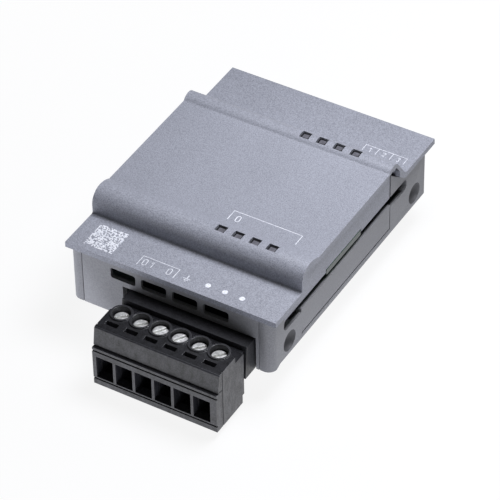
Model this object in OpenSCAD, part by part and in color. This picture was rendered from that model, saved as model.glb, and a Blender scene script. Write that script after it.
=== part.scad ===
// Plug-in signal board: a clip-in module with a stepped cover, an open-sided shell round one circuit
// board, two rows of status lights and a pull-off screw terminal plug. Millimetres, +Z up.
// Origin: middle of the overall width and length, on the plane that the bus connector's end rests on.
// Heights in the named values are measured from the underside of the base shell unless they say otherwise.

/* [Cover] */
// Width of the top cover
cover_w = 38; // [36:0.5:46]
// Length of the top cover, front edge to rear edge
cover_len = 51; // [48:0.5:60]
// Thickness of the cover's skin
skin_t = 1; // [0.8:0.1:1.2]
// Height of the front flange's top face
flange_h = 10.6; // [10.2:0.1:11.6]
// How far the rear flange lies below the front flange
rear_flange_drop = 0.3; // [0:0.1:0.5]
// Height of the flat deck above the front flange
deck_rise = 3.3; // [3:0.1:3.8]
// Height of both ridge crests above the deck
ridge_rise = 0.8; // [0.6:0.1:1.4]
// Depth of the front flange, edge to ridge
front_flange = 8; // [7:0.2:9]
// Depth of the rear flange, edge to ridge
rear_flange = 9.9; // [9.3:0.1:11]
// Radius of the front ridge's steep outer face
steep_r = 2.4; // [2:0.1:2.8]
// Radius of the rear ridge's crest
rear_crest_r = 1.75; // [1.5:0.05:2.2]
// Slope of the rear ridge's outer face, degrees
rear_slope = 55; // [48:1:65]
// Radius of a ridge's long inner slope
long_r = 5; // [4:0.2:8]
// Thickness of the skin over the rear ridge
ridge_skin = 0.6; // [0.5:0.05:0.8]
// Radius of the fillet at the front ridge's foot
foot_r = 0.3; // [0.2:0.1:1.2]
// Radius of the fillet at the rear ridge's foot
rear_foot_r = 1.8; // [0.8:0.1:2.4]

/* [Shell] */
// How far the shell's side walls stand in from the cover's ends
side_inset = 0.7; // [0.4:0.1:1.2]
// How far the rear flange overhangs the rear wall
rear_overhang = 1.5; // [1.2:0.1:2.6]
// Thickness of the shell's walls
wall_t = 1.1; // [0.9:0.1:1.3]
// Thickness of the base floor
floor_t = 1.2; // [1:0.1:1.6]
// How far the lip at the front wall's foot reaches below the base
lip_drop = 0.45; // [0.2:0.05:0.8]
// Radius of the shell's front upright corners
corner_r = 1.5; // [1.2:0.1:2.2]
// Radius of the shell's rear upright corners
rear_corner_r = 0.6; // [0.4:0.1:1]
// Gap left at a seam between two mouldings
seam = 0.18; // [0.06:0.02:0.24]

/* [Side slot] */
// How far the slot's upper edge lies below the front flange's top
slot_drop = 2.9; // [2.6:0.1:3.2]
// Height of the side slot
slot_h = 2.2; // [1.9:0.1:2.6]
// Distance from the cover's front edge to the slot's front end
slot_front = 3.6; // [3.2:0.2:6]
// Distance from the cover's rear edge to the slot's rear end
slot_rear = 8.1; // [7.5:0.3:9.9]
// Distance from the cover's front edge to the side panel's front seam
panel_front = 9; // [8:0.2:10.4]
// Distance from the cover's rear edge to the side panel's rear seam
panel_rear = 13.7; // [13.3:0.1:14.3]
// Height of the side panel's lower seam
panel_lo = 0.9; // [0.7:0.1:1]
// How far the side panel's top edge stands above the slot's lower edge
panel_step = 0.65; // [0.4:0.05:0.9]
// Gap under the side panel's lower edge
panel_gap = 0.3; // [0.1:0.05:0.4]
// How far the walls slope down inwards below the slot
slot_bevel = 0.8; // [0.3:0.1:0.9]

/* [Catches and vents] */
// Radius of a catch dimple's mouth
dimple_r = 1.85; // [1.2:0.05:2]
// Depth of a catch dimple
dimple_depth = 1.3; // [0.5:0.1:1.4]
// Height of the catch dimples' centres
dimple_z = 2.5; // [2.3:0.1:3]
// Distance from the cover's front edge to the front dimples' centres
dimple_front = 5.3; // [5:0.1:6.4]
// Distance from the cover's rear edge to the rear dimples' centres
dimple_rear = 5.4; // [4.6:0.1:7]
// Number of vent windows in the front wall
vents = 4; // [2:1:5]
// Width of a vent window
vent_w = 4.55; // [3:0.05:4.8]
// Spacing of the vent windows
vent_pitch = 5.6; // [5.2:0.1:6]
// How far the vents' upper edge lies below the front flange's top
vent_drop = 1.7; // [1.5:0.1:2]
// Height of a vent window
vent_h = 2; // [1.2:0.1:2.1]
// Corner radius of a vent window
vent_r = 0.45; // [0.2:0.05:0.5]
// Thickness of the front wall round the vent windows
vent_skin = 0.5; // [0.4:0.1:0.8]

/* [Status lights] */
// Number of lights in each row
lights = 4; // [2:1:5]
// Spacing of the lights
light_pitch = 3.05; // [2.8:0.05:3.4]
// Sideways place of the middle of each row
light_x = 7.6; // [5:0.1:9]
// Width of a light window
light_w = 1.7; // [1.5:0.1:2.3]
// Depth of a light window, front to back
light_d = 1.55; // [1.2:0.05:1.7]
// How far the front lights sit behind their crest
light_back = 0.4; // [0:0.1:0.6]
// How far a light guide's end lies below the crest
light_sink = 0.4; // [0.2:0.1:0.7]
// Running gap round a light guide's finger
light_gap = 0.1; // [0.05:0.05:0.2]

/* [Circuit board] */
// How far the board's lower face lies below the slot's upper edge
board_drop = 0.55; // [0.3:0.05:0.7]
// Thickness of the board
board_t = 1; // [0.8:0.1:1.2]
// Gap between the board's edge and the walls
board_gap = 0.3; // [0.2:0.1:0.5]
// Distance from the cover's front edge to the board's side tabs
tab_front = 16.8; // [16:0.1:19]
// Length of the board's side tabs
tab_len = 10.9; // [10:0.3:15.1]

/* [Header and plug] */
// Number of terminal poles
poles = 6; // [4:1:6]
// Spacing of the terminal poles
pitch = 3.5; // [3.5:0.05:3.7]
// Sideways place of the middle of the terminal row
pole_x = 3.45; // [2.5:0.05:4]
// How far the header stands out of the front wall
header_out = 2.8; // [2.4:0.2:4]
// How far the header's top face lies below the board
header_drop = 1.5; // [1.3:0.05:1.8]
// Height of the header
header_h = 6.2; // [5.8:0.1:6.4]
// Thickness of the header's walls
header_wall = 0.8; // [0.6:0.1:1]
// How far the header's front leans back, bottom to top
header_lean = 0.6; // [0:0.1:0.8]
// Thickness of the header's end walls
header_side_t = 0.5; // [0.4:0.1:0.6]
// Width of the header beyond the outer poles' cells, left end
header_end = 0.3; // [0.2:0.1:1.2]
// Width of the header beyond the outer poles' cells, right end
header_end_right = 1.2; // [0.4:0.1:1.4]
// Gap between the header and the opening in the front wall
header_gap = 0.25; // [0.15:0.05:0.4]
// How much wider the opening is at the header's left end
header_room = 1; // [0:0.1:1.4]
// Depth of the plug in front of the header
plug_depth = 8.2; // [8:0.1:9.6]
// Height of the plug's top face above the header's
plug_rise = 0.35; // [0.25:0.05:0.8]
// Height of the plug
plug_h = 11.1; // [10.7:0.1:11.6]
// Width of the plug beyond the outer poles' cells, left end
plug_end = 0.4; // [0.3:0.1:0.8]
// Width of the plug beyond the outer poles' cells, right end
plug_end_right = 1; // [0.4:0.1:1.1]
// How far the wire frame stands out in front of the upper band
frame_proud = 0.5; // [0.3:0.1:0.8]
// Thickness of the wire frame, front to back
frame_t = 1.6; // [1.2:0.1:2]
// How far the wire frame's top edge lies below the plug's top
frame_drop = 3.5; // [3.2:0.1:3.8]
// Width of a wire window
wire_w = 3; // [2.6:0.1:3.1]
// How far the windows' upper edge lies below the wire frame's
wire_drop = 1.8; // [1.5:0.1:2]
// Height of a wire window
wire_h = 4.2; // [3.8:0.1:4.6]
// Length of the plug's nose inside the header
nose_len = 5; // [4:0.2:5.6]
// Sliding gap between the nose and the header
nose_gap = 0.1; // [0.08:0.02:0.16]

/* [Screw clamps] */
// Distance from the header's front face to the screws
screw_back = 2.7; // [2.4:0.1:2.8]
// Radius of a screw's head
head_r = 1.3; // [1.2:0.05:1.35]
// Height of a screw's head
head_h = 0.9; // [0.7:0.05:1]
// Radius of a screw's shank
shank_r = 1; // [0.8:0.05:1.05]
// Radius of the screwdriver hole above a screw
driver_r = 1.5; // [1.45:0.05:1.6]
// Running gap round a screw's shank
screw_gap = 0.05; // [0.02:0.01:0.1]
// How far the shelf that a screw's head bears on lies below the plug's top
shelf_drop = 1.6; // [1.3:0.1:2]
// Thickness of that shelf
shelf_t = 0.5; // [0.4:0.05:0.6]
// Outside width of a clamp cage
cage_w = 2.7; // [2.4:0.05:2.8]
// Depth of a clamp cage, front to back
cage_d = 2.4; // [2.2:0.1:2.6]
// Height of a clamp cage
cage_h = 5.3; // [5:0.1:5.5]
// Thickness of a clamp cage's threaded top
cage_top_t = 1; // [0.8:0.05:1.1]
// Thickness of a clamp cage's other walls
cage_t = 0.4; // [0.3:0.05:0.5]
// How far a clamp cage rises when its screw is tightened
cage_rise = 1.8; // [1.2:0.1:1.9]

/* [Contacts] */
// Side of a square contact pin
pin_s = 0.8; // [0.6:0.05:0.9]
// Thickness of the contact metal
metal_t = 0.4; // [0.3:0.05:0.45]
// Gap between a pin and the contact that grips it
grip_gap = 0.05; // [0.03:0.01:0.08]

/* [Bus connector] */
// How far the bus connector stands out below the base
bus_drop = 6.3; // [5:0.1:8]
// Width of the bus connector beyond its pins' cells, each side
bus_side = 0.96; // [0.6:0.02:1.6]
// Length of the bus connector beyond its pins' cells, each end
bus_end = 1.1; // [0.6:0.1:1.5]
// Sideways place of the bus connector
bus_x = 1; // [-1:0.5:2]
// Gap between the header's pins and the bus connector
bus_back = 1.1; // [0.8:0.1:1.8]
// Pins in each row of the bus connector
bus_pins = 7; // [4:1:7]
// Spacing of the bus connector's pins
bus_pitch = 2.54; // [2:0.01:2.54]
// Side of a square bus pin
bus_pin_s = 0.5; // [0.4:0.05:0.6]

/* [Board parts] */
// Width of the converter chip
converter_w = 5; // [4:0.2:6]
// Depth of the converter chip
converter_d = 6.4; // [5.6:0.2:7]
// Width and depth of the processor chip
processor_w = 7; // [6:0.2:7.4]
// Width of an isolator chip
isolator_w = 4.6; // [3.6:0.2:5]
// Depth of an isolator chip
isolator_d = 5; // [4.4:0.2:5.6]
// Height of the chips
chip_h = 1.6; // [1.2:0.1:2]
// Spacing of a chip's legs
leg_pitch = 1.27; // [1:0.01:1.27]
// Width of a chip's leg
leg_w = 0.4; // [0.3:0.05:0.5]
// How far a chip's legs stand out
leg_out = 0.8; // [0.5:0.1:0.9]
// Radius of the transformer
transformer_r = 3; // [2.4:0.1:3.2]
// Gap between the transformer and the cover
transformer_gap = 0.1; // [0.05:0.05:0.3]
// Width and depth of the inductor
inductor_w = 5.2; // [4:0.2:5.6]
// Height of the inductor
inductor_h = 2.8; // [2:0.2:3]
// Width of a capacitor
capacitor_w = 3.2; // [2:0.2:3.2]
// Depth and height of a capacitor
capacitor_d = 1.6; // [1.2:0.1:1.8]
// Width of a resistor
resistor_w = 1.6; // [1:0.1:1.8]
// Depth of a resistor
resistor_d = 0.8; // [0.5:0.1:0.9]
// Height of a resistor
resistor_h = 0.5; // [0.35:0.05:0.6]

/* [Hidden] */

$fn = 48;
arc_steps = 12;        // flats in each arc of the top surface
eps = 0.01;            // overshoot of a cut past the face it opens
big = 200;             // reach of a cut that runs right through

// Overall frame
overall_len = cover_len + header_out + plug_depth;
rear_y = overall_len / 2;
front_y = rear_y - cover_len;
base_z = bus_drop;                          // underside of the base shell
function up(h) = base_z + h;                // absolute height of a height above that underside

// Heights above the underside of the base shell
rear_flange_h = flange_h - rear_flange_drop;
deck_h = flange_h + deck_rise;
ridge_h = deck_h + ridge_rise;
slot_hi = flange_h - slot_drop;
slot_lo = slot_hi - slot_h;
panel_hi = slot_lo + panel_step;
vent_lo = flange_h - vent_drop - vent_h;
board_z = slot_hi - board_drop;
header_top = board_z - header_drop;
header_lo = header_top - header_h;
plug_top = header_top + plug_rise;
plug_lo = plug_top - plug_h;
frame_top = plug_top - frame_drop;
wire_lo = frame_top - wire_drop - wire_h;
shelf_z = plug_top - shelf_drop;

// Cover
crest_front_y = front_y + front_flange + steep_r;
rear_foot_y = rear_y - rear_flange;
crest_rear_z = ridge_h - rear_crest_r;
rear_slope_run = (crest_rear_z + rear_crest_r * cos(rear_slope) - rear_flange_h) / tan(rear_slope);
crest_rear_y = rear_foot_y - rear_slope_run - rear_crest_r * sin(rear_slope);
post_r = 0.9;
tab_w = 3;                                  // width of a snap tab
tab_t = 0.8;                                // thickness of a snap tab
tab_clear = 0.2;                            // gap between a snap tab's end and the header
tab_drop = flange_h - skin_t - header_top - tab_clear;
barb = 0.35;                                // how far a snap tab's barb stands out
barb_h = 0.9;

// Shell
shell_x = cover_w / 2 - side_inset;
shell_front_y = front_y;
shell_rear_y = rear_y - rear_overhang;
inner_x = shell_x - wall_t;
slot_y0 = front_y + slot_front;
slot_y1 = rear_y - slot_rear;
slot_r = 0.9;
slot_land = 0.35;                           // flat left at the outside of that slope
panel_y0 = front_y + panel_front;
panel_y1 = rear_y - panel_rear;
inner_corner_r = corner_r - wall_t / 2;
tab_x = inner_x - inner_corner_r - tab_w / 2 + 0.15;     // middle of a snap tab
vent_x = -0.05;                             // middle of the row of vents
vent_margin = 0.4;                          // thinned wall round the vents
vent_reach = (vents - 1) / 2 * vent_pitch + vent_w / 2 + vent_margin;
dimple_ball_r = (dimple_r * dimple_r + dimple_depth * dimple_depth) / (2 * dimple_depth);
boss_t = 0.6;                               // wall kept behind a dimple
lip_d = 1.3;                                // depth of that lip, and where its rear slope ends
lip_end = 2.4;
corner_line = 0.15;                         // width and depth of the lines down the front wall's ends
corner_line_x = shell_x - 2.3;
block_slope = 40;                           // slope of the rear block's top under the rear ridge, degrees
block_back = 0.3;                           // distance from that slope's foot to the ridge's
hole_r = 1.3;                               // round head of the hole above that slope
hole_y = crest_rear_y + 0.8;
hole_z = ridge_h - 2.4;

// Circuit board
board_y0 = shell_front_y + wall_t + tab_t + 0.4;
board_y1 = shell_rear_y - wall_t - tab_t - 0.4;
board_x = inner_x - board_gap;
board_top = board_z + board_t;
tab_y0 = front_y + tab_front;
tab_y1 = tab_y0 + tab_len;
rib_t = 1.4;                                // thickness of the carrier's cross ribs
rib_x = inner_x - 0.6;
carrier_floor_t = 0.8;

// Header and plug
cells_w = poles * pitch;
header_x0 = pole_x - cells_w / 2 - header_end;
header_x1 = pole_x + cells_w / 2 + header_end_right;
opening_x0 = header_x0 - header_gap - header_room;
header_y0 = shell_front_y - header_out;
nose_spare = 1.2;                           // room left behind the nose
header_back_t = 1.2;
header_y1 = header_y0 + nose_len + nose_spare + header_back_t;
cavity_lo = header_lo + header_wall;
cavity_hi = header_top - header_wall;
pin_z = (cavity_lo + cavity_hi) / 2;
pin_leg_y = header_y1 + pin_s / 2;
plug_y0 = header_y0 - plug_depth;
plug_y1 = header_y0 - 0.1;
plug_x0 = pole_x - cells_w / 2 - plug_end;
plug_x1 = pole_x + cells_w / 2 + plug_end_right;
band_y = plug_y0 + frame_proud;
frame_y1 = plug_y0 + frame_t;
frame_seam = 0.18;                          // dark line above the wire frame
screw_axis_y = header_y0 - screw_back;
top_end_y = screw_axis_y + 0.15;            // rear end of the plug's full height, behind the collars' middle
cell_w = pitch - 0.5;                       // inside width of a terminal cell
cell_y1 = screw_axis_y + cage_d / 2 + 0.1;
cell_hi = shelf_z - shelf_t;
collar_r = driver_r + 0.32;
collar_step = 1.2;                          // depth of the step behind the collars
cage_lo = cell_hi - 0.3 - cage_rise - cage_h;
cage_hi = cage_lo + cage_h;
cell_lo = min(wire_lo - 0.5, cage_lo - 0.1);
bar_hi = cage_hi - cage_top_t - 0.2;        // top face of the contact bar in the cage
bar_w = cage_w - 2 * cage_t - 0.2;
screw_tip = bar_hi + 0.15;
screw_below = 0.2;                          // way kept clear past the screw's tip when the cage is up
screw_seat = 0.05;                          // gap under a screw's head
screw_lift = [0, 0, 0.3, 0.3, 0, 0];        // two screws stand backed out a little
slot_turn = [43, 46, 57, 57, 46, 50];       // how far each screw's slot is turned from the row of screws
socket_w = pin_s + 2 * grip_gap + 2 * metal_t;
socket_gap = 0.1;
nose_y1 = plug_y1 + nose_len;
nose_x0 = header_x0 + header_side_t + nose_gap;
nose_x1 = header_x1 - header_side_t - nose_gap;

// Status lights
light_xs = [for (i = [0 : lights - 1]) light_x + (i - (lights - 1) / 2) * light_pitch];
light_front_y = crest_front_y + light_back;
lamp_w = 1.6;
lamp_d = 0.6;
lamp_h = 0.7;
guide_lo = board_top + lamp_h + 0.3;        // underside of a light guide's bar
guide_t = 0.8;

// Bus connector
post_ys = [for (v = [0.12, 0.5, 0.92]) board_y0 + v * (board_y1 - board_y0)];
bus_gap = 0.2;
bus_lip = 0.4;                              // floor of a contact's chamber, below the base's underside
bus_sink = 1.2;                             // how far the contacts stay back from the strip's end
bus_metal = 0.2;
bus_tail = 0.7;                             // solder tail above the board
bus_w = 2 * bus_pitch + 2 * bus_side;
bus_len = bus_pins * bus_pitch + 2 * bus_end;
bus_y_mid = header_y1 + pin_s + bus_back + bus_len / 2;
bus_rows = [-bus_pitch / 2, bus_pitch / 2];

function pole(i) = pole_x + (i - (poles - 1) / 2) * pitch;

// ---- shared shapes -------------------------------------------------------------------------------

// A flat outline in (Y, Z) pushed along X from x0 to x1
module along_x(x0, x1) {
    translate([x0, 0, 0]) rotate([90, 0, 90]) linear_extrude(height = x1 - x0) children();
}

// A box from one corner to the other
module box(lo, hi) {
    translate(lo) cube(hi - lo);
}

// A plan outline with its own front and rear corner radii
module shell_plan(x, y0, y1, rf, rr) {
    union() {
        translate([-x + rf, y0]) square([2 * (x - rf), y1 - y0 - rr]);
        translate([-x, y0 + rf]) square([2 * x, y1 - y0 - rf - rr]);
        translate([-x + rr, y1 - rr - eps]) square([2 * (x - rr), rr + eps]);
        for (s = [-1, 1]) {
            translate([s * (x - rf), y0 + rf]) circle(r = rf);
            translate([s * (x - rr), y1 - rr]) circle(r = rr);
        }
    }
}

// A flat outline in (X, Z) pushed along Y from y0 to y1
module along_y(y0, y1) {
    translate([0, y1, 0]) rotate([90, 0, 0]) linear_extrude(height = y1 - y0) children();
}

// The same thing on both sides of the middle
module both_sides() {
    children();
    mirror([1, 0, 0]) children();
}

// Points of an arc about c from angle a0 to a1, as [y, height]
function arc(c, r, a0, a1) = [for (i = [0 : arc_steps])
    let (a = a0 + (a1 - a0) * i / arc_steps) [c[0] + r * cos(a), up(c[1] + r * sin(a))]];

// Angle at which a ridge's long slope, sunk by t, reaches the deck
function long_end(t) = asin((long_r - (ridge_h - deck_h) - t) / (long_r - t));

// Front half of the top surface, sunk by t
function front_line(t) = concat(
    [[front_y, up(flange_h - t)]],
    arc([front_y + front_flange - foot_r, flange_h + foot_r], foot_r + t, -90, 0),
    arc([crest_front_y, ridge_h - steep_r], steep_r - t, 180, 90),
    arc([crest_front_y, ridge_h - long_r], long_r - t, 90, long_end(t)));

// Rear ridge's crest and outer slope, sunk by t, where the skin is tc thick
function rear_crest(tc) = arc([crest_rear_y, crest_rear_z], rear_crest_r - tc, 90, 90 - rear_slope);
rear_reach = rear_foot_r * tan(rear_slope / 2);
function slope_y(tc, h) = crest_rear_y + (rear_crest_r - tc) * sin(rear_slope)
    + (crest_rear_z + (rear_crest_r - tc) * cos(rear_slope) - h) / tan(rear_slope);

// Outside and inside of the rear half
rear_out = concat(
    arc([crest_rear_y, ridge_h - long_r], long_r, 180 - long_end(0), 90),
    rear_crest(0),
    arc([rear_foot_y + rear_reach, rear_flange_h + rear_foot_r], rear_foot_r, 270 - rear_slope, 270),
    [[rear_y, up(rear_flange_h)]]);
rear_in = concat(
    arc([crest_rear_y, ridge_h - long_r], long_r - skin_t, 180 - long_end(skin_t), 92),
    rear_crest(ridge_skin),
    [[slope_y(ridge_skin, rear_flange_h - skin_t), up(rear_flange_h - skin_t)],
        [rear_y, up(rear_flange_h - skin_t)]]);

top_out = concat(front_line(0), rear_out);
top_in = concat(front_line(skin_t), rear_in);

// Outline of the skin in (Y, Z)
module skin_outline() {
    polygon(concat(top_out, [for (i = [len(top_in) - 1 : -1 : 0]) top_in[i]]));
}

// Everything under the skin's inner face, raised by dz
module under_skin_outline(dz) {
    translate([0, dz]) polygon(concat([[front_y, up(0)]], top_in, [[rear_y, up(0)]]));
}

// One light window's shape at each place in a row, grown by g
module light_row(y, z0, z1, g) {
    for (x = light_xs)
        box([x - light_w / 2 - g, y - light_d / 2 - g, z0], [x + light_w / 2 + g, y + light_d / 2 + g, z1]);
}

// Outline of the open part of the side slot in (Y, Z)
module slot_outline() {
    translate([slot_y0 + slot_r, up(slot_lo)]) square([slot_y1 - slot_y0 - 2 * slot_r, slot_hi - slot_lo]);
    for (y = [slot_y0 + slot_r, slot_y1 - slot_r]) {
        translate([y, up(slot_lo) + slot_r]) circle(r = slot_r);
        translate([y, up(slot_hi) - slot_r]) circle(r = slot_r);
        translate([y - slot_r, up(slot_lo) + slot_r]) square([2 * slot_r, slot_hi - slot_lo - 2 * slot_r]);
    }
}

// Slope that the walls below the slot are cut to, in (X, Z)
module below_slot_outline() {
    past = 0.1;                     // reach of the cut past the wall
    slope = slot_bevel / (wall_t - slot_land);
    polygon([[inner_x - past, up(slot_lo - slot_bevel - slope * past)], [shell_x - slot_land, up(slot_lo)],
        [shell_x - slot_land, up(slot_lo + past)], [inner_x - past, up(slot_lo + past)]]);
}

// ---- casing --------------------------------------------------------------------------------------

// A snap tab under the cover's flange; its barb looks towards -Y and is turned round at the rear
module snap_tab(y_out, dir, top) {
    y_in = y_out + dir * tab_t;
    lo = top - tab_drop;
    along_x(tab_x - tab_w / 2, tab_x + tab_w / 2)
        polygon([[y_in, top + eps], [y_out, top + eps], [y_out, lo + barb_h],
            [y_out - dir * barb, lo + barb_h],
            [y_out, lo], [y_in, lo]]);
}

// Stepped top cover: extruded skin, side walls above the slot, board posts and snap tabs
module top_cover() {
    wall_y1 = panel_y1 - seam;
    color("#9aa0ae") difference() {
        union() {
            along_x(-cover_w / 2, cover_w / 2) skin_outline();
            both_sides() along_x(inner_x, shell_x) intersection() {
                under_skin_outline(ridge_skin / 2);
                translate([slot_y0, up(slot_hi)]) square([wall_y1 - slot_y0, big]);
            }
            both_sides() along_x(inner_x, cover_w / 2) intersection() {
                under_skin_outline(ridge_skin / 2);
                web_outline();
            }
            both_sides() for (y = post_ys)
                translate([board_x - post_r - 0.4, y, up(board_top)])
                    cylinder(r = post_r, h = under_skin(y) - up(board_top) + skin_t / 2);
            both_sides() {
                snap_tab(shell_front_y + wall_t + seam, 1, up(flange_h - skin_t));
                snap_tab(shell_rear_y - wall_t - seam, -1, up(rear_flange_h - skin_t));
            }
        }
        for (y = [light_front_y, crest_rear_y]) light_row(y, up(deck_h - skin_t - 1), up(ridge_h + 1), 0);
        both_sides() box([inner_x - eps, tab_y0 - seam, up(slot_hi) - 1],
            [big, tab_y1 + seam, up(board_top + seam)]);
    }
}

// Height of the skin's underside at a place along Y
function under_skin(y) =
    y < crest_front_y - steep_r + skin_t ? up(flange_h - skin_t)
    : y > rear_foot_y ? up(rear_flange_h - skin_t)
    : up(deck_h - skin_t);

// Height of the rear block's sloping top at a place along Y
function block_top(y) = up(rear_flange_h - skin_t) + (rear_foot_y - block_back - y) * tan(block_slope);

// Everything above the rear block in (Y, Z): its side walls slope up under the rear ridge
module above_rear_block() {
    polygon([[panel_y0, block_top(panel_y0)], [rear_foot_y - block_back, up(rear_flange_h - skin_t)],
        [rear_y + 1, up(rear_flange_h - skin_t)], [rear_y + 1, up(big)], [panel_y0, up(big)]]);
}

// Web under the rear ridge's slope in (Y, Z): it frames a round-headed hole above the rear block
module web_outline() {
    difference() {
        polygon([[crest_rear_y, block_top(crest_rear_y) + seam],
            [rear_foot_y - block_back, block_top(rear_foot_y - block_back) + seam],
            [rear_foot_y, block_top(rear_foot_y - block_back) + seam],
            [rear_foot_y, up(big)], [crest_rear_y, up(big)]]);
        translate([hole_y, up(hole_z)]) circle(r = hole_r);
        translate([hole_y - hole_r, up(hole_z) - big]) square([2 * hole_r, big]);
    }
}

// Rounded vent window through the front wall
module vent(x) {
    translate([x, shell_front_y - 1, up(vent_lo + vent_h / 2)]) rotate([-90, 0, 0])
        linear_extrude(height = wall_t + 1.5) union() {
            square([vent_w, vent_h - 2 * vent_r], center = true);
            square([vent_w - 2 * vent_r, vent_h], center = true);
            for (sx = [-1, 1], sz = [-1, 1])
                translate([sx * (vent_w / 2 - vent_r), sz * (vent_h / 2 - vent_r)]) circle(r = vent_r);
        }
}

// Lip along the foot of the front wall and its corners
module front_lip() {
    run = (lip_end - lip_d) / lip_drop;     // run of the rear slope for each mm of drop
    intersection() {
        translate([0, 0, up(-lip_drop)]) linear_extrude(height = lip_drop + eps)
            shell_plan(shell_x, shell_front_y, shell_rear_y, corner_r, rear_corner_r);
        along_x(-big, big) polygon([[shell_front_y - big, up(-lip_drop) - 1],
            [shell_front_y + lip_d - run, up(-lip_drop) - 1], [shell_front_y + lip_end + run, up(1)],
            [shell_front_y - big, up(1)]]);
    }
}

// A sealed pocket wall behind a dimple
module dimple_boss(y) {
    box([shell_x - dimple_depth - boss_t, y - dimple_r - 0.3, up(0.2)],
        [shell_x - wall_t / 2, y + dimple_r + 0.3, up(dimple_z + dimple_r + 0.3)]);
}

// Base shell: floor, front wall with its opening and vents, rear block, catch dimples
module base_shell() {
    dimple_ys = [front_y + dimple_front, rear_y - dimple_rear];
    post_s = 1.5;
    color("#8c9097") difference() {
        union() {
            // floor and walls, open in the middle of each side for the side panels
            difference() {
                translate([0, 0, up(0)]) linear_extrude(height = ridge_h)
                    shell_plan(shell_x, shell_front_y, shell_rear_y, corner_r, rear_corner_r);
                translate([0, 0, up(floor_t)]) linear_extrude(height = big)
                    shell_plan(inner_x, shell_front_y + wall_t, shell_rear_y - wall_t,
                        inner_corner_r, rear_corner_r);
                both_sides() box([inner_x - seam, panel_y0, up(panel_lo)],
                    [big, panel_y1 + seam, up(big)]);
                box([-big, -big, up(flange_h - skin_t)], [big, panel_y0 + eps, up(big)]);
                along_x(-big, big) above_rear_block();
            }
            both_sides() for (y = dimple_ys) dimple_boss(y);
            front_lip();
            // posts that carry the board's corners
            both_sides() for (y = [header_y1 + header_gap, board_y1 - post_s])
                box([inner_x - post_s - seam, y, up(floor_t) - eps],
                    [inner_x - seam, y + post_s, up(board_z)]);
        }
        both_sides() along_x(inner_x - 1, shell_x + 1) slot_outline();
        both_sides() along_y(slot_y0 + slot_r, slot_y1 - slot_r) below_slot_outline();
        // the cover's wall takes the place of the front wall's ends above the slot
        both_sides() box([inner_x - eps, slot_y0, up(slot_hi) - eps],
            [big, panel_y0 + eps, up(big)]);
        for (i = [0 : vents - 1]) vent(vent_x + (i - (vents - 1) / 2) * vent_pitch);
        box([vent_x - vent_reach, shell_front_y + vent_skin, up(vent_lo - vent_margin)],
            [vent_x + vent_reach, shell_front_y + wall_t + eps, up(vent_lo + vent_h + vent_margin)]);
        // opening for the header, through the front wall and the floor
        box([opening_x0, shell_front_y - 1, up(0) - 1],
            [header_x1 + header_gap, shell_front_y + wall_t + eps, up(header_top + header_gap)]);
        box([opening_x0, shell_front_y - 1, up(0) - 1],
            [header_x1 + header_gap, header_y1 + pin_s + header_gap, up(floor_t + eps)]);
        both_sides() box([corner_line_x - corner_line / 2, shell_front_y - 1, up(0) - 1],
            [corner_line_x + corner_line / 2, shell_front_y + corner_line, up(big)]);
        bus_well(floor_t + 1);
        both_sides() for (y = dimple_ys)
            translate([shell_x - dimple_depth + dimple_ball_r, y, up(dimple_z)]) sphere(r = dimple_ball_r);
        // pockets for the snap tabs' barbs
        for (e = [[shell_front_y + wall_t, -1, flange_h], [shell_rear_y - wall_t, 1, rear_flange_h]])
            both_sides() box([tab_x - tab_w / 2 - 0.2, e[0] + (e[1] < 0 ? -barb - 0.1 : -eps),
                    up(e[2] - skin_t - tab_drop - 0.2)],
                [tab_x + tab_w / 2 + 0.2, e[0] + (e[1] < 0 ? eps : barb + 0.1),
                    up(e[2] - skin_t - tab_drop + barb_h + 0.15)]);
    }
}

// Clear way for the bus connector through a floor
module bus_well(h) {
    box([bus_x - bus_w / 2 - bus_gap, bus_y_mid - bus_len / 2 - bus_gap, up(0) - 1],
        [bus_x + bus_w / 2 + bus_gap, bus_y_mid + bus_len / 2 + bus_gap, up(h)]);
}

// Board carrier: two outer side panels, a thin floor and two cross ribs that the board rests on
module board_carrier() {
    color("#8f9297") difference() {
        union() {
            both_sides() along_y(panel_y0, panel_y1) polygon([[inner_x, up(panel_lo + panel_gap)],
                [shell_x, up(panel_lo + panel_gap)], [shell_x, up(panel_hi)],
                [shell_x - slot_land, up(panel_hi)], [inner_x, up(panel_hi - slot_bevel)]]);
            box([-inner_x - eps, panel_y0, up(floor_t)],
                [inner_x + eps, panel_y1, up(floor_t + carrier_floor_t)]);
            for (y = [panel_y0, panel_y1 - rib_t])
                box([-rib_x, y, up(floor_t)], [rib_x, y + rib_t, up(board_z)]);
        }
        bus_well(board_z + 1);
    }
}

// ---- board ---------------------------------------------------------------------------------------

// Places of the bus connector's contacts
module bus_grid() {
    for (i = [0 : bus_pins - 1], x = bus_rows)
        translate([bus_x + x, bus_y_mid + (i - (bus_pins - 1) / 2) * bus_pitch, 0]) children();
}

// Circuit board with its two side tabs and its solder holes
module circuit_board() {
    color("#2f6b4a") difference() {
        union() {
            box([-board_x, board_y0, up(board_z)], [board_x, board_y1, up(board_top)]);
            box([-shell_x, tab_y0, up(board_z)], [shell_x, tab_y1, up(board_top)]);
        }
        for (i = [0 : poles - 1])
            translate([pole(i), pin_leg_y, up(board_z) - 1]) cylinder(r = pin_s * 0.8, h = board_t + 2);
        bus_grid() translate([0, 0, up(board_z) - 1]) cylinder(r = bus_pin_s * 0.85, h = board_t + 2);
    }
}

// Puts a part on the board: u from -1 to 1 across it, v from 0 at the front to 1 at the rear
module on_board(u, v) {
    translate([u * board_x, board_y0 + v * (board_y1 - board_y0), up(board_top)]) children();
}

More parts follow.
